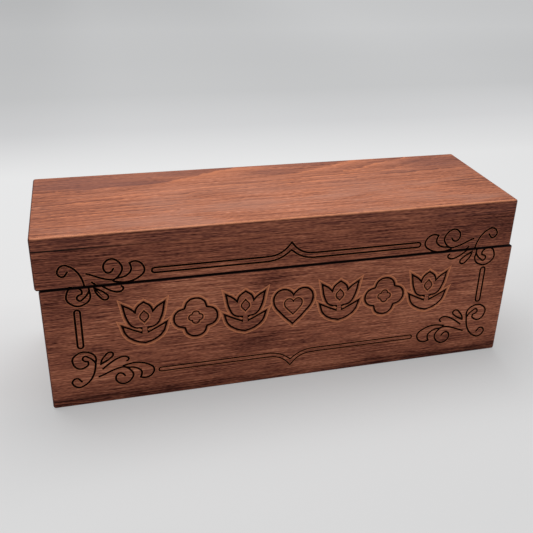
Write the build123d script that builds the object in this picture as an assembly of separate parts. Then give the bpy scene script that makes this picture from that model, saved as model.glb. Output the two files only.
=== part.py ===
from build123d import *

import os
from math import atan, degrees, sin

# Recipe card box: a hinged wooden box, two card columns wide, made of six boards below the
# seam and five above it, with two rolled brass butt hinges let into the back.
# Frame: origin at the middle of the base's underside, +X to the right along the box, +Y to
# the back where the hinges are, +Z up. All sizes are in millimetres.

# The closed box
box_length = 343.0
box_depth = 107.0
box_height = 130.8
lid_height = 36.6  # from the lid's rim to its top
seam_gap = 0.8  # between the two rims when closed
lid_offset = -2.3  # the lid sits this far to the left of the base

# Boards and their joints
board = 9.5  # fronts, backs and ends
top_board = 9.2
bottom_board = 5.8
rabbet_depth = 6.0  # how far the ends are let into the front and the back
divider_thickness = 6.0
divider_drop = 12.0  # divider's top edge below the base's rim
dado_depth = 3.0
dado_slip = 0.15  # clearance each side of the divider

# Edges, eased after glue-up
corner_round = 2.0  # upright corners
top_round = 1.5
bottom_round = 2.0
rim_end_round = 1.8  # seam edges of the ends
divider_round = 1.5

# Hinges: leaves of rolled sheet, swaged so that the rims nearly meet
hinge_length = 38.0
hinge_inset = 60.0  # from the base's end to the middle of a hinge
leaf_width = 8.0  # flat of the leaf, inside the back board
leaf_thickness = 1.1
pin_radius = 1.0
pin_clearance = 0.05  # running fit in the knuckles
knuckle_count = 5
knuckle_gap = 0.15
curl_angle = 275.0  # how far a knuckle wraps round the pin
barrel_clearance = 0.3  # between the knuckles and the back of the box
mortise_clearance = 0.1

# Hinge screws, countersunk through the leaf
screw_count = 2
screw_pitch = 24.0
screw_length = 9.5
screw_radius = 1.0
screw_tip = 2.2
screw_clearance = 0.05

# Heights and places that follow
rim_high = box_height - lid_height  # the lid's rim
rim_low = rim_high - seam_gap  # the base's rim
lid_roof = box_height - top_board
lip = board - rabbet_depth  # wood left outside a rabbet
half_depth = box_depth / 2
end_length = box_depth - 2 * lip
inside_depth = box_depth - 2 * board

barrel_middle = pin_radius + pin_clearance + leaf_thickness / 2  # radius of the sheet's middle
barrel_radius = barrel_middle + leaf_thickness / 2
neck_run = barrel_radius + barrel_clearance  # from the pin's axis to the back of the box
leaf_level = (seam_gap + leaf_thickness) / 2  # from the pin's axis to the middle of a flat leaf
pin_y = half_depth + neck_run
pin_z = (rim_low + rim_high) / 2
hinge_x = box_length / 2 - hinge_inset
knuckle_pitch = hinge_length / knuckle_count


def sanded_block(low, high, rim, outer_round):
    """Outside of the lid or the base: rim is -1 where the lower side meets the seam, 1 for the upper.

    The long edges of the rim stay as sawn, and its ends are eased where hands lift the lid.
    """
    height = high - low
    block = Box(box_length, box_depth, height)
    block = fillet(block.edges().filter_by(Axis.Z), corner_round)
    outer_face = block.faces().sort_by(Axis.Z)[::rim][0]
    block = fillet(outer_face.edges(), outer_round)
    outline = Rectangle(box_length, height)
    outline = fillet(outline.vertices().sort_by(Axis.Y)[::-rim][:2], rim_end_round)
    block &= extrude(Plane.XZ * outline, half_depth, both=True)
    return Pos(0, 0, (low + high) / 2) * block


def frame_boards(block, low, high):
    """Front, back and ends: the ends stand in rabbets cut in the front and the back."""
    height = high - low
    middle = (low + high) / 2
    end_x = (box_length - board) / 2
    boards = {}
    for name, side in (("front", -1), ("back", 1)):
        plank = Pos(0, side * (box_depth - board) / 2, middle) * Box(box_length, board, height)
        rabbet_y = side * (half_depth - lip - rabbet_depth / 2)
        for x in (-end_x, end_x):
            plank -= Pos(x, rabbet_y, middle) * Box(board, rabbet_depth, height)
        boards[name + "_board"] = block & plank
    for name, x in (("left", -end_x), ("right", end_x)):
        boards[name + "_end"] = block & Pos(x, 0, middle) * Box(board, end_length, height)
    return boards


def flat_board(block, low, high):
    """A board that covers the whole top or bottom of a frame."""
    return block & Pos(0, 0, (low + high) / 2) * Box(box_length, box_depth, high - low)


def divider():
    """Upright board between the two card columns, with its top edge rounded over."""
    height = rim_low - divider_drop - bottom_board
    width = inside_depth + 2 * (dado_depth - dado_slip)
    panel = Pos(0, 0, bottom_board + height / 2) * Box(divider_thickness, width, height)
    return fillet(panel.edges().filter_by(Axis.Y).group_by(Axis.Z)[-1], divider_round)


def dado(side):
    """The channel for the divider in the front (side -1) or the back (side 1) of the base."""
    height = rim_low - bottom_board
    width = divider_thickness + 2 * dado_slip
    y = side * (inside_depth / 2 + dado_depth / 2)
    return Pos(0, y, bottom_board + height / 2) * Box(width, dado_depth, height)


def knuckle_outline():
    """Side view of a knuckle about the pin: a stub of the flat, the swaged neck and the curl."""
    stub = leaf_thickness
    neck_angle = 2 * atan((barrel_middle - leaf_level) / neck_run)
    neck_radius = neck_run / 2 / sin(neck_angle)
    rims = []
    for face in (leaf_thickness / 2, -leaf_thickness / 2):
        level = leaf_level + face
        flat = Line((-neck_run - stub, level), (-neck_run, level))
        rise = JernArc(flat @ 1, flat % 1, neck_radius - face, degrees(neck_angle))
        level_off = JernArc(rise @ 1, rise % 1, neck_radius + face, -degrees(neck_angle))
        curl = JernArc(level_off @ 1, level_off % 1, barrel_middle + face, -curl_angle)
        rims.append([flat, rise, level_off, curl])
    outer, inner = rims
    closing = [Line(outer[0] @ 0, inner[0] @ 0), Line(outer[-1] @ 1, inner[-1] @ 1)]
    return make_face(Curve() + outer + inner + closing)


def leaf(first_knuckle):
    """An upper leaf about the pin's axis, with every second knuckle from first_knuckle on."""
    plate = Pos(0, -neck_run - leaf_width / 2, leaf_level) * Box(hinge_length, leaf_width, leaf_thickness)
    outline = Plane.YZ * knuckle_outline()
    knuckle = extrude(outline, (knuckle_pitch - knuckle_gap) / 2, both=True)
    for index in range(first_knuckle, knuckle_count, 2):
        plate += Pos((index - (knuckle_count - 1) / 2) * knuckle_pitch, 0, 0) * knuckle
    for place in screw_places():
        plate -= place * countersink()
    return plate


def screw_places():
    """Where the screws of an upper leaf start: on the face of the leaf that looks at the seam."""
    y = -neck_run - leaf_width / 2
    middle = (screw_count - 1) / 2
    return [Pos((index - middle) * screw_pitch, y, seam_gap / 2) for index in range(screw_count)]


def screw():
    """A wood screw standing on its flat head, with a 90 degree countersunk cone as deep as the leaf."""
    head_radius = screw_radius + leaf_thickness
    outline = Polyline(
        (0, 0),
        (head_radius, 0),
        (screw_radius, leaf_thickness),
        (screw_radius, screw_length - screw_tip),
        (0, screw_length),
        close=True,
    )
    return revolve(Plane.XZ * make_face(outline), Axis.Z)


def countersink():
    """The screw's seat in the leaf: its head and shank with clearance all round."""
    hole = screw_radius + screw_clearance
    return Pos(0, 0, leaf_thickness / 2) * Cone(hole + leaf_thickness, hole, leaf_thickness)


def pilot_hole():
    """The hole for the screw in the board's edge."""
    depth = screw_length + screw_clearance
    return Pos(0, 0, depth / 2) * Cylinder(screw_radius + screw_clearance, depth)


def leaf_mortise():
    """The seat of an upper leaf, cut in from the back of the board's edge."""
    length = hinge_length + 2 * mortise_clearance
    width = leaf_width + mortise_clearance
    return Pos(0, -neck_run - width / 2, leaf_level) * Box(length, width, leaf_thickness)


def pin():
    """The hinge pin along X, cut off flush with the outer knuckles."""
    return Rot(0, 90, 0) * Cylinder(pin_radius, hinge_length)


def below(shape):
    """The same shape turned over to the base's side of the pin's axis."""
    return mirror(shape, about=Plane.XY)


# The lid and the base as glued up and sanded
lid_block = sanded_block(rim_high, box_height, -1, top_round)
base_block = sanded_block(0, rim_low, 1, bottom_round)

lid = {"lid_" + name: piece for name, piece in frame_boards(lid_block, rim_high, lid_roof).items()}
lid["lid_top_board"] = flat_board(lid_block, lid_roof, box_height)
lid = {name: Pos(lid_offset, 0, 0) * piece for name, piece in lid.items()}

base = {"base_" + name: piece for name, piece in frame_boards(base_block, bottom_board, rim_low).items()}
base["base_bottom_board"] = flat_board(base_block, 0, bottom_board)
base["base_front_board"] -= dado(-1)
base["base_back_board"] -= dado(1)
base["card_divider"] = divider()

# The hinges, and their seats in the two back boards
lid_leaf = leaf(1)
base_leaf = below(leaf(0))
lid_cut = leaf_mortise() + [place * pilot_hole() for place in screw_places()]
base_cut = below(lid_cut)
lid_screws = [place * screw() for place in screw_places()]
base_screws = [below(lid_screw) for lid_screw in lid_screws]

for side, x in (("left", -hinge_x), ("right", hinge_x)):
    place = Pos(x, pin_y, pin_z)
    lid[side + "_hinge_lid_leaf"] = place * lid_leaf
    lid[side + "_hinge_lid_screws"] = place * Compound(lid_screws)
    lid["lid_back_board"] -= place * lid_cut
    base[side + "_hinge_base_leaf"] = place * base_leaf
    base[side + "_hinge_base_screws"] = place * Compound(base_screws)
    base[side + "_hinge_pin"] = place * pin()
    base["base_back_board"] -= place * base_cut

os.makedirs("parts", exist_ok=True)
for name, piece in (lid | base).items():
    export_step(piece, f"parts/{name}.step")
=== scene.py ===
import math

import bmesh
import bpy
from mathutils import Matrix, Vector


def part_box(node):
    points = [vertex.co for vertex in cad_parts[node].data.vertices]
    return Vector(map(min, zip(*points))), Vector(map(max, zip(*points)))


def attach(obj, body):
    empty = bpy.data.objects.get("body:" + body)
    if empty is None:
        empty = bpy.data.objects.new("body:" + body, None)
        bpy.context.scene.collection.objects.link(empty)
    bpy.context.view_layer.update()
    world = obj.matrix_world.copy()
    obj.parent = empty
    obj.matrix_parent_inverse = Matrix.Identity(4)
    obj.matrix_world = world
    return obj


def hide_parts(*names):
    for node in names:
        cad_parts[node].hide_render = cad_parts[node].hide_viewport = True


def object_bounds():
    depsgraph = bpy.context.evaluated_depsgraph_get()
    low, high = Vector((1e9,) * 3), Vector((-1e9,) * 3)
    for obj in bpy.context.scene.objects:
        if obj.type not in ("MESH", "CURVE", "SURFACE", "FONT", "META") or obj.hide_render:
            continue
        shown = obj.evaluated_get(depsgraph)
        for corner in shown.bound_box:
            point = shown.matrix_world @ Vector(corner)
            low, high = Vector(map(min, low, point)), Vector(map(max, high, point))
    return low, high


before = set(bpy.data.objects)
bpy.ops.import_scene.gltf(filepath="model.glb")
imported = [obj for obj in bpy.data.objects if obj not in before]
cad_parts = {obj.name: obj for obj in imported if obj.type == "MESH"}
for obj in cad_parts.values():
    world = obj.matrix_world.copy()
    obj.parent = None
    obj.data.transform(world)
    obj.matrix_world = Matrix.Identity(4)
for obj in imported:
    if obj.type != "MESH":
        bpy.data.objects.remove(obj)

# A hinged recipe card box of stained softwood, with its front carved in V-grooves.
# +X runs to the right along the front, +Y to the back and +Z up. Objects are in metres.
# Carving is drawn on the front in millimetres, x along the box and z up from its underside.

MM = 0.001
cad_low, cad_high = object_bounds()

base_front_low, base_front_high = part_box("base_front_board")
lid_front_low, lid_front_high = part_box("lid_front_board")
front_face = base_front_low.y
base_end = base_front_high.x
box_top = cad_high.z
lid_offset = lid_front_low.x + base_end  # how far the lid sits off the base along X
seam_height = (lid_front_low.z + base_front_high.z) / 2
glue_lines = (lid_front_high.z, base_front_low.z)  # under the top board and over the bottom board
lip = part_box("base_left_end")[0].y - front_face  # thickness of the front board outside its rabbets


# Camera and studio

def make_camera():
    camera = bpy.data.cameras.new("camera")
    camera.sensor_width = 36
    camera.lens = 49.07
    camera.shift_x = -0.0412
    camera.shift_y = -0.0360
    stand = bpy.data.objects.new("camera", camera)
    stand.location = (-0.13454, -0.48312, 0.32772)
    stand.rotation_euler = [math.radians(angle) for angle in (63.997, -2.008, -15.652)]
    bpy.context.scene.collection.objects.link(stand)
    bpy.context.scene.camera = stand


def add_lamp(name, place, target, size, power):
    light = bpy.data.lights.new(name, "AREA")
    light.shape = "RECTANGLE"
    light.size, light.size_y = size
    light.energy = power
    lamp = bpy.data.objects.new(name, light)
    lamp.location = place
    aim = Vector(target) - Vector(place)
    lamp.rotation_euler = aim.to_track_quat("-Z", "Y").to_euler()
    bpy.context.scene.collection.objects.link(lamp)


class Finish:
    """A node material in the making: each method adds a node and gives back its output."""

    def __init__(self, name):
        self.material = bpy.data.materials.new(name)
        self.material.use_nodes = True
        self.tree = self.material.node_tree
        self.shader = self.tree.nodes["Principled BSDF"]

    def feed(self, socket, value):
        if isinstance(value, bpy.types.NodeSocket):
            self.tree.links.new(value, socket)
        else:
            socket.default_value = value

    def add(self, kind, inputs, output=0, **settings):
        node = self.tree.nodes.new("ShaderNode" + kind)
        for key, value in settings.items():
            setattr(node, key, value)
        for key, value in inputs.items():
            self.feed(node.inputs[key], value)
        return node.outputs[output]

    def set(self, **inputs):
        for key, value in inputs.items():
            self.feed(self.shader.inputs[key.replace("_", " ")], value)

    def math(self, operation, first, second=0.0, clamp=False):
        return self.add("Math", {0: first, 1: second}, operation=operation, use_clamp=clamp)

    def vector(self, operation, first, second=(0, 0, 0), output="Vector"):
        return self.add("VectorMath", {0: first, 1: second}, output, operation=operation)

    def spread(self, value, low, high, bottom=0.0, top=1.0, smooth=True):
        """Value's run from low to high becomes a run from bottom to top."""
        inputs = {"Value": value, "From Min": low, "From Max": high, "To Min": bottom, "To Max": top}
        kind = "SMOOTHSTEP" if smooth else "LINEAR"
        return self.add("MapRange", inputs, interpolation_type=kind)

    def ramp(self, value, stops):
        node = self.tree.nodes.new("ShaderNodeValToRGB")
        elements = node.color_ramp.elements
        while len(elements) < len(stops):
            elements.new(0.5)
        for element, (position, colour) in zip(elements, stops):
            element.position = position
            element.color = (*colour, 1)
        self.feed(node.inputs[0], value)
        return node.outputs[0]

    def mix(self, share, first, second):
        first, second = [(*c, 1) if isinstance(c, tuple) else c for c in (first, second)]
        return self.add("Mix", {0: share, 6: first, 7: second}, 2, data_type="RGBA")

    def noise(self, place, stretch, detail, rough, output="Fac"):
        """Noise with stretch features per unit of place along each axis."""
        place = self.vector("MULTIPLY", place, stretch)
        inputs = {"Vector": place, "Scale": 1.0, "Detail": detail, "Roughness": rough}
        return self.add("TexNoise", inputs, output)

    def strayed(self, place, log, stretch, detail, rough, reach):
        """Place, moved by noise in the log by up to about half of reach along each axis."""
        noise = self.noise(log, stretch, detail, rough, "Color")
        shift = self.vector("MULTIPLY", self.vector("SUBTRACT", noise, (0.5, 0.5, 0.5)), reach)
        return self.vector("ADD", place, shift)

    def away(self, value, middle):
        """How far value is from middle."""
        return self.math("ABSOLUTE", self.math("SUBTRACT", value, middle))

    def curve(self, value, points):
        """A smooth curve through the points, from the first to the last."""
        node = self.tree.nodes.new("ShaderNodeFloatCurve")
        line = node.mapping.curves[0]
        line.points[0].location = points[0]
        line.points[-1].location = points[-1]
        for point in points[1:-1]:
            line.points.new(*point)
        node.mapping.update()
        self.feed(node.inputs["Value"], value)
        return node.outputs[0]

    def total(self, *terms):
        """The sum of (value, factor) pairs and plain numbers."""
        result = 0.0
        for term in terms:
            if isinstance(term, tuple):
                value, factor = term
                result = self.add("Math", {0: value, 1: factor, 2: result}, operation="MULTIPLY_ADD")
            else:
                result = self.math("ADD", result, term)
        return result


def make_studio():
    bm = bmesh.new()
    bmesh.ops.create_grid(bm, x_segments=1, y_segments=1, size=6.0)
    mesh = bpy.data.meshes.new("floor")
    bm.to_mesh(mesh)
    bm.free()
    floor = bpy.data.objects.new("floor", mesh)
    bpy.context.scene.collection.objects.link(floor)
    mesh.materials.append(floor_paper())

    world = bpy.data.worlds.new("studio")
    world.use_nodes = True
    bpy.context.scene.world = world
    nodes, links = world.node_tree.nodes, world.node_tree.links
    light = nodes["Background"]
    light.inputs["Color"].default_value = (0.95, 0.97, 1.0, 1)
    light.inputs["Strength"].default_value = 0.28
    wall = nodes.new("ShaderNodeBackground")
    wall.inputs["Color"].default_value = (0.54, 0.545, 0.55, 1)
    chosen = nodes.new("ShaderNodeMixShader")
    links.new(nodes.new("ShaderNodeLightPath").outputs["Is Camera Ray"], chosen.inputs[0])
    links.new(light.outputs[0], chosen.inputs[1])
    links.new(wall.outputs[0], chosen.inputs[2])
    links.new(chosen.outputs[0], nodes["World Output"].inputs["Surface"])

    add_lamp("overhead_lamp", place=(-0.10, 0.35, 1.5), target=(0, 0, 0.1), size=(1.1, 0.8), power=17.0)


def floor_paper():
    """Pale paper. As the camera sees it, half its tone is its own light, so shadows stay pale."""
    paper = Finish("pale_paper")
    place = paper.add("TexCoord", {}, "Object")
    side, back = [paper.add("SeparateXYZ", {0: place}, axis) for axis in range(2)]
    # Painted light and shade, from in front of the box to the far end: a painted shadow just in front of
    # the box, brightly lit paper behind it, then a darker band and the paler far end
    tone = paper.ramp(
        paper.spread(back, -0.3, 2.0, smooth=False),
        [
            (0.06, (0.81, 0.81, 0.81)),
            (0.12, (0.70, 0.70, 0.70)),
            (0.18, (0.94, 0.94, 0.94)),
            (0.31, (0.97, 0.97, 0.97)),
            (0.39, (0.69, 0.69, 0.70)),
            (0.48, (0.58, 0.585, 0.59)),
            (0.60, (0.63, 0.635, 0.64)),
            (0.76, (0.74, 0.745, 0.75)),
            (1.00, (0.76, 0.765, 0.77)),
        ],
    )
    paper.set(Base_Color=(0.70, 0.70, 0.70, 1), Roughness=0.9, Specular_IOR_Level=0.1)
    rays = paper.add("LightPath", {}).node.outputs
    seen = paper.math("MAXIMUM", rays["Is Camera Ray"], rays["Is Glossy Ray"])
    # Well behind the box the paper is painted darker on the left and lighter on the right, as the light
    # falls
    left = paper.spread(side, -0.05, -0.25, 0.0, -0.10)
    right = paper.spread(side, 0.20, 0.70, 0.0, 0.15)
    strength = paper.total((paper.math("ADD", left, right), paper.spread(back, 0.42, 0.62)), 1.0)
    glow = paper.add("Emission", {"Color": tone, "Strength": strength})
    share = paper.math("MULTIPLY", seen, 0.5)
    both = paper.add("MixShader", {0: share, 1: paper.shader.outputs[0], 2: glow})
    paper.feed(paper.tree.nodes["Material Output"].inputs["Surface"], both)
    return paper.material


# Wood

# Dark and light places on the top: x, y, half width and half depth in mm, and change of tone.
# Where one is dark and lies behind the middle, the wood is also weathered grey.
TOP_MARKS = [
    (-130, 38, 56, 15, -0.20),
    (-125, 27, 50, 5, -0.12),
    (-96, 31, 22, 5, -0.12),
    (-66, 45, 26, 7, -0.14),
    (5, 37, 26, 8, -0.14),
    (0, 53, 110, 6, -0.20),
    (135, 40, 40, 12, -0.14),
    (150, 29, 40, 5, -0.14),
    (125, 20, 60, 5, -0.08),
    (0, -28, 110, 20, 0.09),
    (-176, 0, 36, 70, -0.14),
    (178, 0, 60, 70, -0.12),
    (-75, -48, 34, 4, 0.16),
]

# Dark and light places on the front: x, z, half width and half height in mm, and change of tone
FRONT_MARKS = [
    (0, 112, 300, 20, -0.16),
    (10, 118, 66, 6, 0.12),
    (-160, 108, 44, 22, -0.08),
    (160, 118, 50, 22, -0.20),
    (-55, 97, 60, 3, 0.26),
    (-72, 84, 44, 13, 0.22),
    (-18, 85, 15, 8, -0.26),
    (60, 88, 90, 10, 0.10),
    (-28, 37, 20, 10, -0.24),
    (-88, 29, 24, 6, -0.20),
    (-132, 26, 34, 10, 0.20),
    (110, 40, 60, 26, 0.12),
    (-152, 84, 36, 16, -0.22),
    (-170, 60, 18, 26, -0.08),
    (170, 72, 18, 26, -0.14),
    (0, 15, 320, 9, -0.06),
    (30, 9, 26, 8, 0.20),
    (-120, 3, 100, 6, -0.28),
    (135, 3, 80, 5, -0.42),
]
# The same along the front edge of the bottom board
BOTTOM_MARKS = [
    (-130, 0, 90, 60, -0.20),
    (20, 0, 26, 60, 0.14),
    (125, 0, 80, 60, -0.26),
]

# What the grain is made of: features per mm along the log and across it, the noise's detail and
# roughness, and its share in the tone
STANDING_GRAIN = {
    "fibre": (0.05, 2.1, 0, 0.5, 0.56),
    "fleck": (0.34, 2.3, 0, 0.5, 0.80),
    "streak": (0.012, 0.25, 3, 0.6, 0.14),
    "cloud": (0.020, 0.040, 4, 0.55, 0.42),
}
TOP_GRAIN = {
    "fibre": (0.030, 1.1, 0, 0.5, 0.40),
    "fleck": (0.25, 1.9, 0, 0.5, 0.78),
    "streak": (0.010, 0.16, 3, 0.6, 0.06),
    "cloud": (0.012, 0.030, 4, 0.55, 0.24),
}

# How much late wood, or shade before it, there is over one year of growth, from 0 to 1
STANDING_YEAR = [(0, 0), (0.45, 0.10), (0.80, 0.55), (0.93, 1.0), (1, 0)]
ARCH_YEAR = [(0, 1.0), (0.06, 0.9), (0.13, 0.45), (0.4, 0.12), (0.98, 0), (1, 1.0)]
LINE_YEAR = [(0, 1.0), (0.10, 0.8), (0.20, 0.20), (0.4, 0.02), (0.95, 0), (1, 0.9)]
SHADED_YEAR = [(0, 0), (0.65, 0.0), (0.84, 1.0), (0.93, 0.7), (1, 0)]

# Stain on the fronts and the other standing boards, from its darkest to its lightest
STAIN = [
    (0.00, (0.060, 0.012, 0.008)),
    (0.25, (0.215, 0.062, 0.041)),
    (0.50, (0.400, 0.128, 0.072)),
    (0.75, (0.590, 0.205, 0.115)),
    (1.00, (0.820, 0.330, 0.190)),
]
# Stain on the top's upper face, lighter than on the standing boards: partly faded by years of light, and
# partly painted light from above
FADED_AND_LIT_STAIN = [
    (0.00, (0.120, 0.040, 0.027)),
    (0.25, (0.280, 0.094, 0.056)),
    (0.55, (0.465, 0.165, 0.090)),
    (0.80, (0.590, 0.220, 0.128)),
    (1.00, (0.800, 0.350, 0.230)),
]
# The darkest stain, also used as painted shade at the top's edges
DARKEST_STAIN_AND_SHADE = STAIN[0][1]
LATE_WOOD = (0.70, 0.235, 0.105)
# Painted sheen: the pale haze of light reflected by the top's finish
PAINTED_SHEEN = (0.48, 0.235, 0.170)
WEATHERED = (0.300, 0.125, 0.098)
# Rubbed wood on the top's front arris, also standing in as a painted highlight
WORN_AND_HIGHLIT = (0.92, 0.360, 0.180)
# Fresh-cut wood, also a painted highlight where the carving's rims catch the light
FRESH_CUT_AND_HIGHLIGHT = (0.88, 0.320, 0.150)
# Black of the carving's depths, partly scorch and partly painted shade, and painted shade at the seam
SCORCH_AND_SHADE = (0.010, 0.002, 0.0015)

# Depths in mm between which the plain strokes, and the dishes of the motifs, turn black with scorch and
# painted shade
GROOVE_DEPTHS = (0.03, 0.10)
DISH_DEPTHS = (0.22, 0.34)


def in_log(wood, place, pith, turn):
    """Place as seen from a log that lies through pith, in mm."""
    inputs = {
        "Vector": place,
        "Location": pith,
        "Rotation": [math.radians(angle) for angle in turn],
        "Scale": (MM, MM, MM),
    }
    return wood.add("Mapping", inputs, vector_type="TEXTURE")


def standing_years(wood, log, ring):
    """Counts the years outwards from the pith of a log, each ring mm wide."""
    grown = wood.strayed(log, log, (0.006, 0.022, 0.022), 2, 0.5, (0, 14, 14))
    grown = wood.strayed(grown, log, (0.03, 0.12, 0.12), 3, 0.6, (0, 2.6, 2.6))
    radius = wood.vector("LENGTH", wood.vector("MULTIPLY", grown, (0, 1, 1)), output="Value")
    return wood.math("DIVIDE", radius, ring)


def cathedral_years(wood, log):
    """Counts the years across a flat-sawn face, whose middle line is the log's own X.

    Behind the line the years make steep pointed arches, and in front of it they run along the
    board, crowded at the line and again towards the front edge.
    """
    arch_slope = 2.7  # mm along the board for each mm behind the line
    first_tip, later_tip = 14.0, 78.0  # where along the line the arches start and crowd
    first_length, later_length = 106.0, 42.0  # of a year along the line
    line_length, line_width, crowd_width = 135.0, 9.0, 41.0  # of a year in front of the line
    grown = wood.strayed(log, log, (0.035, 0.07, 0.07), 4, 0.6, (26, 7, 0))
    grown = wood.strayed(grown, log, (0.10, 0.28, 0.28), 3, 0.6, (20, 4.5, 0))
    along, across = [wood.add("SeparateXYZ", {0: grown}, axis) for axis in range(2)]
    behind = wood.math("MAXIMUM", across, 0.0)
    before = wood.math("MAXIMUM", wood.math("MULTIPLY", across, -1.0), 0.0)
    arch = wood.total((behind, -arch_slope), along, -first_tip)
    first = wood.total((arch, 1 / first_length))
    later = wood.total((arch, 1 / later_length), (first_tip - later_tip) / later_length)
    arches = wood.math("MAXIMUM", first, later)
    drift = wood.math("MULTIPLY", along, 1 / line_length)
    near = wood.spread(before, 5.0, 0.0)
    crowd = wood.math("POWER", wood.math("MULTIPLY", before, 1 / crowd_width), 3.0)
    lines = wood.total(drift, (before, 1 / line_width), crowd)
    return wood.total((wood.math("SUBTRACT", arches, drift), near), lines)


def late_wood(wood, years, points, weakest=0.2):
    """The share of late wood, which keeps the stain out: points give it over one year."""
    year = wood.add("TexWhiteNoise", {"W": wood.math("FLOOR", years)}, "Value", noise_dimensions="1D")
    share = wood.curve(wood.math("FRACT", years), points)
    return wood.math("MULTIPLY", share, wood.spread(year, 0, 1, weakest, 1.0, smooth=False))


def grain(wood, log, makeup, middle, contrast=1.0):
    """The tone of the grain, about middle, and what it is made of, by name."""
    parts = {}
    for name, (along, across, detail, rough, _) in makeup.items():
        parts[name] = wood.noise(log, (along, across, across), detail, rough)
    parts["fibre"] = wood.spread(parts["fibre"], 0.28, 0.72, smooth=False)
    shares = {name: contrast * values[-1] for name, values in makeup.items()}
    terms = [(parts[name], share) for name, share in shares.items()]
    return wood.total(middle - 0.5 * sum(shares.values()), *terms), parts


def mark(wood, place, middle, scale):
    """A soft elliptical mark about middle: 1 inside, 0 outside. Scale is 1 over its half sizes."""
    away = wood.vector("MULTIPLY", wood.vector("SUBTRACT", place, middle), scale)
    return wood.spread(wood.vector("LENGTH", away, output="Value"), 1.4, 0.2)


def joint_stain_and_seam_shade(wood, place, colour):
    """Outside, stain gathers in the glue lines and the end grain of the front and back, and the seam is
    painted black, as shade in the gap between lid and base.
    """
    along, across, height = [wood.add("SeparateXYZ", {0: place}, axis) for axis in range(3)]
    is_lid = wood.math("GREATER_THAN", height, seam_height)
    along = wood.total(along, (is_lid, -lid_offset))
    end = wood.math("SUBTRACT", wood.math("ABSOLUTE", along), base_end)
    side = wood.math("ADD", wood.math("ABSOLUTE", across), front_face)
    soaked = wood.noise(place, (70, 70, 70), 3, 0.6)
    in_lip = wood.spread(side, -lip - 0.0002, -lip + 0.0002)
    end_grain = wood.math("MULTIPLY", wood.spread(end, -0.0013, -0.0005), in_lip)
    colour = wood.mix(wood.math("MULTIPLY", end_grain, 0.60), colour, DARKEST_STAIN_AND_SHADE)
    outside = wood.spread(wood.math("MAXIMUM", end, side), -0.0030, -0.0015)
    # Painted shade: the rims either side of the seam turn black, standing in for the shade in the gap
    seam = wood.spread(wood.away(height, seam_height), 0.0014, 0.0009)
    # The glue lines show most towards the left
    gap = wood.spread(wood.total((soaked, 0.10), along), 0.0, -0.11, 0.05, 1.0)
    for glue_line, depth in zip(glue_lines, (1.0, 0.55)):
        line = wood.spread(wood.away(height, glue_line), 0.0008, 0.0003, 0.0, depth)
        seam = wood.math("MAXIMUM", seam, wood.math("MULTIPLY", line, gap))
    return wood.mix(wood.math("MULTIPLY", outside, seam), colour, SCORCH_AND_SHADE)


def cut_grooves(wood, place, colour, shallow, deep):
    """Fresh wood at the rims of the carving, lightened to a painted highlight at the very rim, and black
    from between shallow and deep mm down, as scorch and painted shade.
    """
    across = wood.add("SeparateXYZ", {0: place}, 1)
    depth = wood.math("MULTIPLY", wood.math("SUBTRACT", across, front_face), 1 / MM)
    soaked = wood.noise(place, (300, 300, 300), 2, 0.6)
    depth = wood.total((soaked, 0.5 * shallow), depth, -0.25 * shallow)
    # Painted highlight: the fresh-cut colour is strongest right at the rim
    fresh_and_highlit = wood.mix(wood.spread(depth, 0.02, 0.6 * shallow + 0.06, 0.95, 0.35), colour, FRESH_CUT_AND_HIGHLIGHT)
    return wood.mix(wood.spread(depth, shallow, deep), fresh_and_highlit, SCORCH_AND_SHADE)


def finish_wood(wood, colour, relief, fibre, shine):
    """Gives the wood its colour, raised grain, roughness along the fibres, and shine."""
    bump = wood.add("Bump", {"Height": relief, "Strength": 0.6, "Distance": 0.0004})
    rough = wood.spread(fibre, 0.2, 0.8, 0.50, 0.66, smooth=False)
    wood.set(Base_Color=colour, Roughness=rough, Normal=bump, Specular_IOR_Level=shine)


def stained_board(name, pith, turn, ring, tone=0.0, contrast=1.0, marks=(), cut=None):
    """Stained softwood cut from a log whose pith runs along its own X through the point pith.

    Turn, in degrees, lays the log. Ring is the width of a year in mm. Marks are dark or light
    places seen from the front, each (x, z, half width, half height, change of tone). Cut is the
    (shallow, deep) pair of depths in mm between which the carving turns black.
    """
    wood = Finish(name)
    place = wood.add("TexCoord", {}, "Object")
    log = in_log(wood, place, pith, turn)
    late = late_wood(wood, standing_years(wood, log, ring), STANDING_YEAR)
    level, parts = grain(wood, log, STANDING_GRAIN, 0.50 + tone, contrast)
    level = wood.total(level, (late, 0.08 * contrast))
    if marks:
        blurred = wood.strayed(place, log, (0.04, 0.11, 0.11), 3, 0.6, (0.030, 0, 0.014))
    for x, z, wide, high, change in marks:
        spot = mark(wood, blurred, (x * MM, 0, z * MM), (1 / (wide * MM), 0, 1 / (high * MM)))
        level = wood.total(level, (spot, change))
    colour = wood.mix(wood.math("MULTIPLY", late, 0.22 * contrast), wood.ramp(level, STAIN), LATE_WOOD)
    if cut:
        colour = cut_grooves(wood, place, colour, *cut)
    colour = joint_stain_and_seam_shade(wood, place, colour)
    relief = wood.total((parts["fibre"], 0.35), (late, 0.25), (parts["streak"], 0.3), (parts["fleck"], 0.3))
    finish_wood(wood, colour, relief, parts["fibre"], 0.03 if cut else 0.08)
    return wood.material


def top_late_wood(wood, log):
    """Late wood on the top, and the stained wood just before it in each year."""
    years = cathedral_years(wood, log)
    arches = late_wood(wood, years, ARCH_YEAR, 0.9)
    # Only the first three years make broad arches
    arches = wood.math("MULTIPLY", arches, wood.spread(years, -0.02, 0.0))
    arches = wood.math("MULTIPLY", arches, wood.spread(years, 2.98, 2.96))
    lines = late_wood(wood, years, LINE_YEAR)
    shaded = late_wood(wood, years, SHADED_YEAR, 0.4)
    behind = wood.spread(wood.add("SeparateXYZ", {0: log}, 1), -3.0, 4.0)
    return wood.total(lines, (wood.math("SUBTRACT", arches, lines), behind)), shaded


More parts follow.
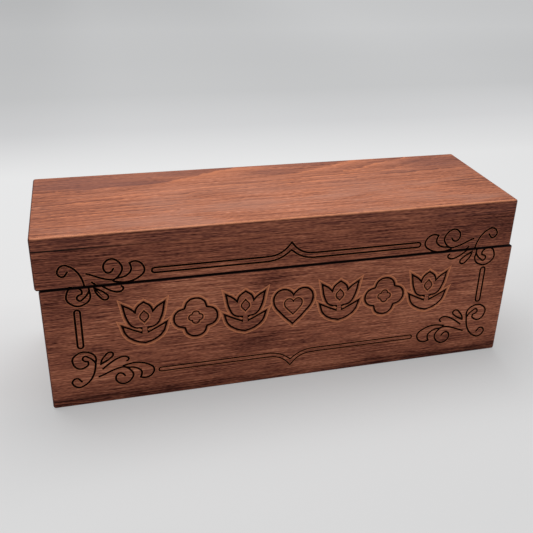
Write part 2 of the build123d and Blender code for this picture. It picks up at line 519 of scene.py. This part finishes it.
def edge_wear_and_painted_light(wood, place, face, edge):
    """The top's front arris is rubbed bright and carries a painted highlight, with a line of painted shade
    under it, and its other rims are dark with stain and painted shade.
    """
    along, across, height = [wood.add("SeparateXYZ", {0: place}, axis) for axis in range(3)]
    nick = wood.noise(place, (140, 300, 300), 3, 0.65)
    depth = wood.math("SUBTRACT", box_top, height)
    from_arris = wood.total(depth, across, (nick, 0.0030), -front_face)
    rub_and_highlight = wood.spread(from_arris, 0.0034, 0.0029)
    colour = wood.mix(wood.math("MULTIPLY", rub_and_highlight, 0.60), face, WORN_AND_HIGHLIT)
    # Painted shade: a dark line on the front face of the top, just under the arris
    depth = wood.total((nick, 0.0010), depth, 0.0003)
    edge = wood.mix(wood.spread(depth, 0.0032, 0.0016, 0.0, 0.40), edge, DARKEST_STAIN_AND_SHADE)
    colour = wood.mix(wood.spread(depth, 0.0008, 0.0020), colour, edge)
    # Painted shade with stain: a dark line along the top's ends and back
    end = wood.math("SUBTRACT", wood.away(along, lid_offset), base_end - 0.0012)
    back = wood.math("SUBTRACT", across, -front_face - 0.0012)
    rim_stain_and_shade = wood.spread(wood.math("MAXIMUM", end, back), 0.0, 0.0010)
    return wood.mix(wood.math("MULTIPLY", rim_stain_and_shade, 0.75), colour, DARKEST_STAIN_AND_SHADE)


def faded_and_lit_top():
    """The top board: flat sawn; above, faded, lightened with painted light from above and hazed with a
    painted sheen; dark round its edges as the fronts are.
    """
    wood = Finish("top_wood")
    place = wood.add("TexCoord", {}, "Object")
    log = in_log(wood, place, (-0.100, 0.027, 0.125), (0, 0, 0.6))
    late, shaded = top_late_wood(wood, log)
    level, parts = grain(wood, log, TOP_GRAIN, 0.53)
    # The front and underside of the board keep the standing boards' darker stain, without the painted light
    # of the upper face
    edge = wood.ramp(wood.total(level, -0.15), STAIN)
    blurred = wood.strayed(place, log, (0.03, 0.08, 0.08), 3, 0.6, (0.060, 0.024, 0))
    weather = 0.0
    for x, y, wide, deep, change in TOP_MARKS:
        spot = mark(wood, blurred, (x * MM, y * MM, 0), (1 / (wide * MM), 1 / (deep * MM), 0))
        level = wood.total(level, (spot, change))
        if y > 0 > change:
            weather = wood.total((spot, -change), weather)
    # The upper face: the faded stain, lightened as painted light from above
    face = wood.ramp(wood.total(level, (late, 0.20), (shaded, -0.16)), FADED_AND_LIT_STAIN)
    face = wood.mix(wood.math("MULTIPLY", late, 0.70), face, LATE_WOOD)
    face = wood.mix(wood.math("MULTIPLY", weather, 2.0, clamp=True), face, WEATHERED)
    # Painted sheen in patches, strongest towards the front edge, where the top reflects the light
    sheen_patches = wood.spread(wood.noise(log, (0.016, 0.05, 0.05), 4, 0.6), 0.45, 0.65, 0.0, 0.42)
    sheen_toward_front = wood.spread(wood.add("SeparateXYZ", {0: place}, 1), 0.030, -0.020, 0.15, 1.0)
    face = wood.mix(wood.math("MULTIPLY", sheen_patches, sheen_toward_front), face, PAINTED_SHEEN)
    colour = joint_stain_and_seam_shade(wood, place, edge_wear_and_painted_light(wood, place, face, edge))
    relief = wood.total((parts["fibre"], 0.4), (late, 0.5), (parts["streak"], 0.3), (parts["fleck"], 0.3))
    finish_wood(wood, colour, relief, parts["fibre"], 0.12)
    return wood.material


def brass(name, colour, rough):
    """Brass with dull tarnish in patches and fine scratches along the box."""
    metal = Finish(name)
    place = metal.add("TexCoord", {}, "Object")
    tarnish = metal.noise(place, (260, 260, 260), 4, 0.6)
    scratch = metal.noise(place, (120, 2200, 2200), 2, 0.5)
    dull = tuple(share * channel for share, channel in zip((0.55, 0.48, 0.36), colour))
    shade = metal.mix(metal.spread(tarnish, 0.40, 0.72), colour, dull)
    bump = metal.add("Bump", {"Height": scratch, "Strength": 0.15, "Distance": 0.00005})
    worn = metal.spread(tarnish, 0.3, 0.7, rough, rough + 0.22)
    metal.set(Base_Color=shade, Metallic=1.0, Roughness=worn, Normal=bump)
    return metal.material


# Carving

# Sections of the two cutters in mm: across the stroke, and up from the face. The plain stroke is
# a V with eased shoulders. The motif's cutter leaves a steep wall on the motif's side and a long
# slope outside, so that the motif stands up in its own dish.
PLAIN_CUT = [(0, -0.90), (0.67, -0.10), (1.10, 0.08), (-1.10, 0.08), (-0.67, -0.10)]
MOTIF_CUT = [(0, -1.05), (0.50, 0.0), (0.60, 0.20), (-4.0, 0.20), (-2.7, 0.0), (-0.68, -0.36)]

# How heavily a stroke is cut, as a share of the plain section
PLAIN_WEIGHT = 1.0
FINE_WEIGHT = 0.78
# The angle from which an edge isn't shaded smooth
SHARP_EDGE = math.radians(25)

# Strokes of a corner scroll. Its points are measured first along the front, from the tip of its
# crescent out to the end of the box, then up or down, from its big scroll. The strokes are smooth.
CORNER = {
    "big_scroll": [
        (49.5, 23.9), (52.5, 20.9), (55.7, 23.2), (55.2, 25.9), (52.0, 28.4), (48.2, 27.5),
        (43.6, 23.6), (41.3, 19.6), (40.0, 15.5), (39.2, 10.0), (38.8, 5.9), (40.4, 2.7), (43.2, 0.9),
        (47.2, 0.0), (51.3, 1.6), (54.1, 5.0), (53.8, 9.1), (52.0, 12.1), (49.1, 13.4), (45.9, 12.3),
        (44.1, 10.5), (44.1, 8.2),
    ],
    "inner_hook": [
        (44.1, 8.2), (46.8, 7.1), (47.5, 5.5), (45.9, 3.6), (43.6, 4.8), (40.9, 7.3), (39.5, 9.6),
    ],
    "leaf": [
        (35.9, 11.6), (35.0, 8.2), (32.7, 5.0), (30.0, 2.7), (27.7, 3.2), (27.2, 5.0), (29.1, 7.3),
        (31.8, 9.3), (35.3, 11.2),
    ],
    "short_frond": [
        (34.7, 15.5), (29.1, 11.1), (24.1, 8.2), (20.4, 7.3), (17.7, 8.2), (17.0, 10.0), (18.2, 11.1),
    ],
    "long_frond": [
        (37.7, 21.6), (33.6, 20.0), (29.1, 18.0), (24.1, 16.4), (20.4, 16.1), (17.7, 17.7),
        (15.4, 20.5), (14.5, 23.2), (15.9, 26.8), (18.6, 29.3), (21.8, 30.0), (25.4, 28.0),
        (26.6, 25.0), (25.9, 22.3), (24.1, 20.9), (21.8, 21.4), (20.2, 23.4),
    ],
    "crescent_back": [
        (20.9, 15.0), (17.2, 14.1), (12.7, 13.6), (8.2, 14.3), (4.1, 16.1), (0.9, 18.6), (0.0, 20.9),
        (0.9, 24.1), (3.2, 26.4), (6.3, 27.3), (9.7, 26.4),
    ],
    "crescent_front": [
        (9.7, 26.4), (8.8, 24.1), (8.8, 21.4), (10.9, 18.9), (14.1, 17.3), (17.7, 16.8), (21.3, 15.9),
    ],
}

# Where the four scrolls start, and how far the maker's hand stretched each along x and z
SCROLLS = {
    "lower_left": ((-101.3, 44.1), (-1.0, -1.0)),
    "upper_left": ((-101.8, 80.0), (-0.98, 1.08)),
    "lower_right": ((100.6, 44.3), (1.043, -1.045)),
    "upper_right": ((99.8, 79.4), (1.045, 1.07)),
}

# The long bars above and below the motifs, and the posts at their ends
LOWER_BAR = {"left": -96.4, "right": 94.4, "gap": 3.2}
UPPER_BAR = {"left": -95.2, "right": 94.4, "gap": 3.7}
lower_bar_height = 20.5
upper_bar_height = 103.3
post_places = (-149.2, 148.8)

# The row of motifs, and the outlines of the motifs about their own middles. A point with a
# third number is a sharp corner, here and in the bars and posts.
motif_row_x = -0.8
motif_row_z = 61.6
motif_pitch = 35.1
rosette_lobe, rosette_eye = 7.4, 2.4
heart_eye = 0.45  # as a share of the heart
TULIP_HALF = [
    (0, -15.5, 1), (6.0, -13.5), (12.0, -8.5), (14.5, -1.5, 1), (8.0, -5.0), (2.0, -8.0, 1), (1.8, -3.5, 1),
    (7.5, -2.0), (11.0, 3.5), (13.5, 14.5, 1), (9.0, 11.5), (5.8, 8.0, 1), (4.2, 12.5), (0, 16.0, 1),
]
TULIP_DROP = [(0, 9.5, 1), (2.8, 5.0), (0, 0.8, 1), (-2.8, 5.0)]
HEART_HALF = [(0, -14.0, 1), (8.0, -5.5), (14.0, 4.0), (12.5, 11.5), (7.0, 14.0), (2.0, 11.5), (0, 8.5, 1)]


def reflected(half):
    """A closed outline from its right half, from the lowest middle point up to the highest."""
    return half + [(-x, *rest) for x, *rest in reversed(half[1:-1])]


def scaled(outline, share):
    return [(x * share, z * share, *rest) for x, z, *rest in outline]


def quatrefoil(lobe):
    """Four half-round lobes that meet in cusps."""
    outline = []
    for quarter in range(4):
        turn = Matrix.Rotation(quarter * math.pi / 2, 2)
        for step in range(4):
            angle = (step / 4 - 0.5) * math.pi
            point = turn @ Vector((lobe * (1 + math.cos(angle)), lobe * math.sin(angle)))
            outline.append((*point, 1) if step == 0 else tuple(point))
    return outline


def round_end(x, radius, toward):
    """The end of a bar: three points round a half circle that bulges toward -1 or 1 along x."""
    points = []
    for turn in (-0.25 * math.pi * toward, 0.0, 0.25 * math.pi * toward):
        points.append((x + toward * radius * math.cos(turn), radius + radius * math.sin(turn)))
    return points


def ogee_bar(left, right, gap):
    """A long double line with a pointed dip in its middle, its lines gap apart."""
    tip = -1.5
    outer = [(left, 0.0, 1), (-20.0, 0.0, 1), (-12.0, -0.9), (-6.0, -4.3), (tip, -9.5, 1)]
    outer += [(3.0, -4.3), (9.0, -0.9), (17.0, 0.0, 1), (right, 0.0, 1)]
    inner = [(right, gap, 1), (14.0, gap, 1), (8.0, gap - 1.3), (3.0, gap - 3.8), (tip, gap - 7.4, 1)]
    inner += [(-6.0, gap - 3.8), (-11.0, gap - 1.3), (-17.0, gap, 1), (left, gap, 1)]
    return outer + round_end(right, gap / 2, 1) + inner + round_end(left, gap / 2, -1)


def post(x):
    """The upright double line beside the motifs."""
    low, high, radius = 49.2, 75.3, 1.9
    slant = radius * 0.7
    path = [(x - radius, low, 1), (x - slant, low - slant), (x, low - radius), (x + slant, low - slant)]
    path += [(x + radius, low, 1), (x + radius, high, 1)]
    path += [(x + slant, high + slant), (x, high + radius), (x - slant, high + slant)]
    path += [(x - radius, high, 1)]
    return path


def section(name, outline):
    """The section of a cutter, as a curve that a stroke sweeps."""
    curve = bpy.data.curves.new(name, "CURVE")
    curve.dimensions = "2D"
    spline = curve.splines.new("POLY")
    spline.points.add(len(outline) - 1)
    spline.use_cyclic_u = True
    for point, (across, up) in zip(spline.points, outline):
        point.co = (across * MM, up * MM, 0, 1)
    shape = bpy.data.objects.new(name, curve)
    bpy.context.scene.collection.objects.link(shape)
    return shape


def evaluated_mesh(obj):
    """The mesh that an object shows, with its modifiers or its bevel applied."""
    bpy.context.view_layer.update()
    return bpy.data.meshes.new_from_object(obj.evaluated_get(bpy.context.evaluated_depsgraph_get()))


def swept_cutter(path, closed, shape):
    """The solid that shape sweeps along path, drawn flat with the face at zero height."""
    curve = bpy.data.curves.new("stroke", "CURVE")
    curve.dimensions = "2D"
    spline = curve.splines.new("BEZIER")
    spline.bezier_points.add(len(path) - 1)
    spline.use_cyclic_u = closed
    for point, place in zip(spline.bezier_points, path):
        point.co = (place[0] * MM, place[1] * MM, 0)
        handle = "VECTOR" if len(place) > 2 else "AUTO"
        point.handle_left_type = point.handle_right_type = handle
    curve.resolution_u = 6
    curve.bevel_mode = "OBJECT"
    curve.bevel_object = shape
    stroke = bpy.data.objects.new("stroke", curve)
    bpy.context.scene.collection.objects.link(stroke)
    mesh = evaluated_mesh(stroke)
    bpy.data.objects.remove(stroke)
    bm = bmesh.new()
    bm.from_mesh(mesh)
    bmesh.ops.remove_doubles(bm, verts=bm.verts, dist=1e-6)
    bmesh.ops.holes_fill(bm, edges=[edge for edge in bm.edges if edge.is_boundary], sides=0)
    bmesh.ops.recalc_face_normals(bm, faces=bm.faces)
    return bm


def plunge_cutter(x, z, weight):
    """The cone that the tool leaves where a plain stroke starts, ends or turns sharply."""
    (_, bottom), (shoulder, shoulder_height), (edge, edge_height), *_ = scaled(PLAIN_CUT, weight)
    bm = bmesh.new()
    outline = [bm.verts.new((0, 0, bottom)), bm.verts.new((shoulder, 0, shoulder_height))]
    outline += [bm.verts.new((edge, 0, edge_height)), bm.verts.new((0, 0, edge_height))]
    edges = [bm.edges.new(pair) for pair in zip(outline, outline[1:])]
    bmesh.ops.spin(bm, geom=outline + edges, cent=(0, 0, 0), axis=(0, 0, 1), angle=math.tau, steps=12,
                   use_merge=True)
    bmesh.ops.remove_doubles(bm, verts=bm.verts, dist=1e-4)
    bmesh.ops.recalc_face_normals(bm, faces=bm.faces)
    bm.transform(Matrix.Translation((x * MM, z * MM, 0)) @ Matrix.Scale(MM, 4))
    return bm


def stand_up(bm, shift):
    """Turns a cutter from the drawing onto the front of the box, moved along it by shift."""
    bm.transform(Matrix(((1, 0, 0, shift), (0, 0, -1, front_face), (0, 1, 0, 0), (0, 0, 0, 1))))
    return bm


def plain_strokes():
    """Every plain stroke of the pattern as (path, closed, weight)."""
    strokes = []
    for (start_x, start_z), (stretch_x, stretch_z) in SCROLLS.values():
        for path in CORNER.values():
            placed = [(start_x + stretch_x * out, start_z + stretch_z * away) for out, away in path]
            strokes.append((placed, False, PLAIN_WEIGHT))
    lower_bar = [(x, lower_bar_height + z, *rest) for x, z, *rest in ogee_bar(**LOWER_BAR)]
    upper_bar = [(x, upper_bar_height - z, *rest) for x, z, *rest in ogee_bar(**UPPER_BAR)]
    strokes.append((lower_bar, True, FINE_WEIGHT))
    strokes.append((upper_bar, True, PLAIN_WEIGHT))
    strokes += [(post(x), True, PLAIN_WEIGHT) for x in post_places]
    return strokes


def motif_outlines():
    """The row of motifs along the middle: (outline, is it a hole in its motif)."""
    tulip = [(reflected(TULIP_HALF), False), (TULIP_DROP, True)]
    rosette = [(quatrefoil(rosette_lobe), False), (quatrefoil(rosette_eye), True)]
    heart = [(reflected(HEART_HALF), False), (scaled(reflected(HEART_HALF), heart_eye), True)]
    row = [tulip, rosette, tulip, heart, tulip, rosette, tulip]
    outlines = []
    for index, shapes in enumerate(row):
        middle = motif_row_x + (index - (len(row) - 1) / 2) * motif_pitch
        for outline, hole in shapes:
            outlines.append(([(x + middle, z + motif_row_z, *rest) for x, z, *rest in outline], hole))
    return outlines


def new_object(name, bm, finish=0):
    """An object of the mesh in bm, whose faces have the finish of that number."""
    for face in bm.faces:
        face.material_index = finish
    mesh = bpy.data.meshes.new(name)
    bm.to_mesh(mesh)
    bm.free()
    obj = bpy.data.objects.new(name, mesh)
    bpy.context.scene.collection.objects.link(obj)
    return obj


def merged_copy(name, node):
    """A copy of a node, with its loose triangles joined."""
    bm = bmesh.new()
    bm.from_mesh(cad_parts[node].data)
    bmesh.ops.remove_doubles(bm, verts=bm.verts, dist=2e-6)
    return new_object(name, bm)


def cut_out(obj, cutters, materials):
    """Cuts the cutters, each with its settings, out of obj one by one, and removes them.

    What a cutter leaves has the material whose number the cutter's faces have.
    """
    for material in materials:
        obj.data.materials.append(material)
    for cutter, settings in cutters:
        cut = obj.modifiers.new("cut", "BOOLEAN")
        cut.operation = "DIFFERENCE"
        cut.object = cutter
        for key, value in settings.items():
            setattr(cut, key, value)
    mesh = evaluated_mesh(obj)
    obj.modifiers.clear()
    obj.data = mesh
    for cutter, _ in cutters:
        bpy.data.objects.remove(cutter)
    mesh.shade_smooth()
    mesh.set_sharp_from_angle(angle=SHARP_EDGE)


def groove_cutters(low, high, shift, finish):
    """The cutters of the plain strokes that reach the heights from low to high."""
    cutters = []
    for path, closed, weight in plain_strokes():
        heights = [z for _, z, *_ in path]
        if min(heights) > high or max(heights) < low:
            continue
        groove = stand_up(swept_cutter(path, closed, plain_sections[weight]), shift)
        cutters.append(new_object("stroke_cutter", groove, finish))
        corners = [point for point in path if len(point) > 2] if closed else [path[0], path[-1]]
        for x, z, *_ in corners:
            plunge = stand_up(plunge_cutter(x, z, weight), shift)
            cutters.append(new_object("plunge_cutter", plunge, finish))
    return cutters


def dish_cutter(shift, finish):
    """The dishes round the motifs and the holes in them, as one cutter."""
    dishes = bmesh.new()
    for outline, hole in motif_outlines():
        path = list(reversed(outline)) if hole else outline
        cutter = stand_up(swept_cutter(path, True, hole_section if hole else motif_section), shift)
        part = bpy.data.meshes.new("dish")
        cutter.to_mesh(part)
        cutter.free()
        dishes.from_mesh(part)
    return new_object("motif_cutter", dishes, finish)


def carved_board(name, node, body, shift, flat_wood, grooved_wood, dished_wood=None):
    """A copy of a front board with the pattern cut into it, moved along the box by shift.

    The motifs are cut where there is a finish for their dishes.
    """
    low, high = [corner.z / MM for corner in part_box(node)]
    board = merged_copy(name, node)
    materials = [flat_wood, grooved_wood]
    cutters = []
    if dished_wood:
        materials.append(dished_wood)
        cutters.append((dish_cutter(shift, 2), {"solver": "EXACT", "use_self": True}))
    cutters += [(cutter, {"solver": "MANIFOLD"}) for cutter in groove_cutters(low, high, shift, 1)]
    cut_out(board, cutters, materials)
    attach(board, body)
    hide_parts(node)


def slotted_screws(node, body, turns):
    """The screws of one leaf, each with a slot across its head, turned by its own angle."""
    slot_length, slot_width, slot_depth = 6.0, 0.7, 0.75
    low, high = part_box(node)
    radius = (high.y - low.y) / 2
    face = low.z if body == "lid" else high.z
    size = Matrix.Diagonal((slot_length * MM, slot_width * MM, 2 * slot_depth * MM, 1))
    bm = bmesh.new()
    for x, turn in zip((low.x + radius, high.x - radius), turns):
        place = Matrix.Translation((x, low.y + radius, face)) @ Matrix.Rotation(math.radians(turn), 4, "Z")
        bmesh.ops.create_cube(bm, size=1.0, matrix=place @ size)
    slots = new_object("slots", bm)
    screws = merged_copy(node.replace("screws", "slotted_screws"), node)
    cut_out(screws, [(slots, {"solver": "EXACT"})], [screw_brass])
    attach(screws, body)
    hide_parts(node)


bpy.context.scene.view_settings.view_transform = "Standard"
make_camera()
make_studio()

plain_sections = {}
for weight in (PLAIN_WEIGHT, FINE_WEIGHT):
    plain_sections[weight] = section("plain_section", scaled(PLAIN_CUT, weight))
motif_section = section("motif_section", MOTIF_CUT)
# In a hole the slope is half as long
hole_section = section("hole_section", [(x * 0.5 if x < 0 else x, up) for x, up in MOTIF_CUT])

# Both front boards come from one log, and the lid's grain is the quieter
front_log = {
    "pith": (0.0, front_face + 0.035, -0.030),
    "turn": (0, 0.6, 0.4),
    "ring": 2.6,
    "marks": FRONT_MARKS,
}
lid_log = {**front_log, "contrast": 0.85}
carved_board(
    "carved_base_front",
    "base_front_board",
    "base",
    0.0,
    stained_board("front_wood", **front_log),
    stained_board("grooved_wood", **front_log, cut=GROOVE_DEPTHS),
    stained_board("dished_wood", **front_log, cut=DISH_DEPTHS),
)
carved_board(
    "carved_lid_front",
    "lid_front_board",
    "lid",
    lid_offset,
    stained_board("lid_front_wood", **lid_log),
    stained_board("lid_grooved_wood", **lid_log, cut=GROOVE_DEPTHS),
)
for helper in (*plain_sections.values(), motif_section, hole_section):
    bpy.data.objects.remove(helper)

# The other boards come from logs of their own. The fibres run along each board.
woods = {
    "lid_top_board": faded_and_lit_top(),
    "lid_back_board": stained_board("back_wood", pith=(0, 0.02, -0.02), turn=(0, 0.5, -0.5), ring=2.8),
    "lid_left_end": stained_board("left_end_wood", pith=(-0.13, 0, 0.02), turn=(0.5, 0, 90.6), ring=2.7),
    "lid_right_end": stained_board("right_end_wood", pith=(0.14, 0, 0.19), turn=(-0.6, 0, 89.5), ring=2.9),
    "base_bottom_board": stained_board(
        "bottom_wood", pith=(0, -0.02, 0.05), turn=(0, 0.6, 1.0), ring=3.2, tone=-0.16, marks=BOTTOM_MARKS
    ),
    "card_divider": stained_board(
        "divider_wood", pith=(0.03, 0, 0.10), turn=(0, 0, 89), ring=2.6, tone=0.02
    ),
}
for board in ("back_board", "left_end", "right_end"):
    woods["base_" + board] = woods["lid_" + board]
for node, material in woods.items():
    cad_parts[node].material_slots[0].material = material

hinge_brass = brass("hinge_brass_finish", colour=(0.80, 0.51, 0.20), rough=0.32)
pin_brass = brass("pin_brass_finish", colour=(0.74, 0.47, 0.20), rough=0.38)
screw_brass = brass("screw_brass_finish", colour=(0.64, 0.40, 0.16), rough=0.26)
for node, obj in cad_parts.items():
    if "hinge" in node:
        finish = screw_brass if "screws" in node else pin_brass if "pin" in node else hinge_brass
        obj.material_slots[0].material = finish

slotted_screws("left_hinge_lid_screws", "lid", (20, -65))
slotted_screws("right_hinge_lid_screws", "lid", (80, 35))
slotted_screws("left_hinge_base_screws", "base", (-30, 10))
slotted_screws("right_hinge_base_screws", "base", (55, -85))
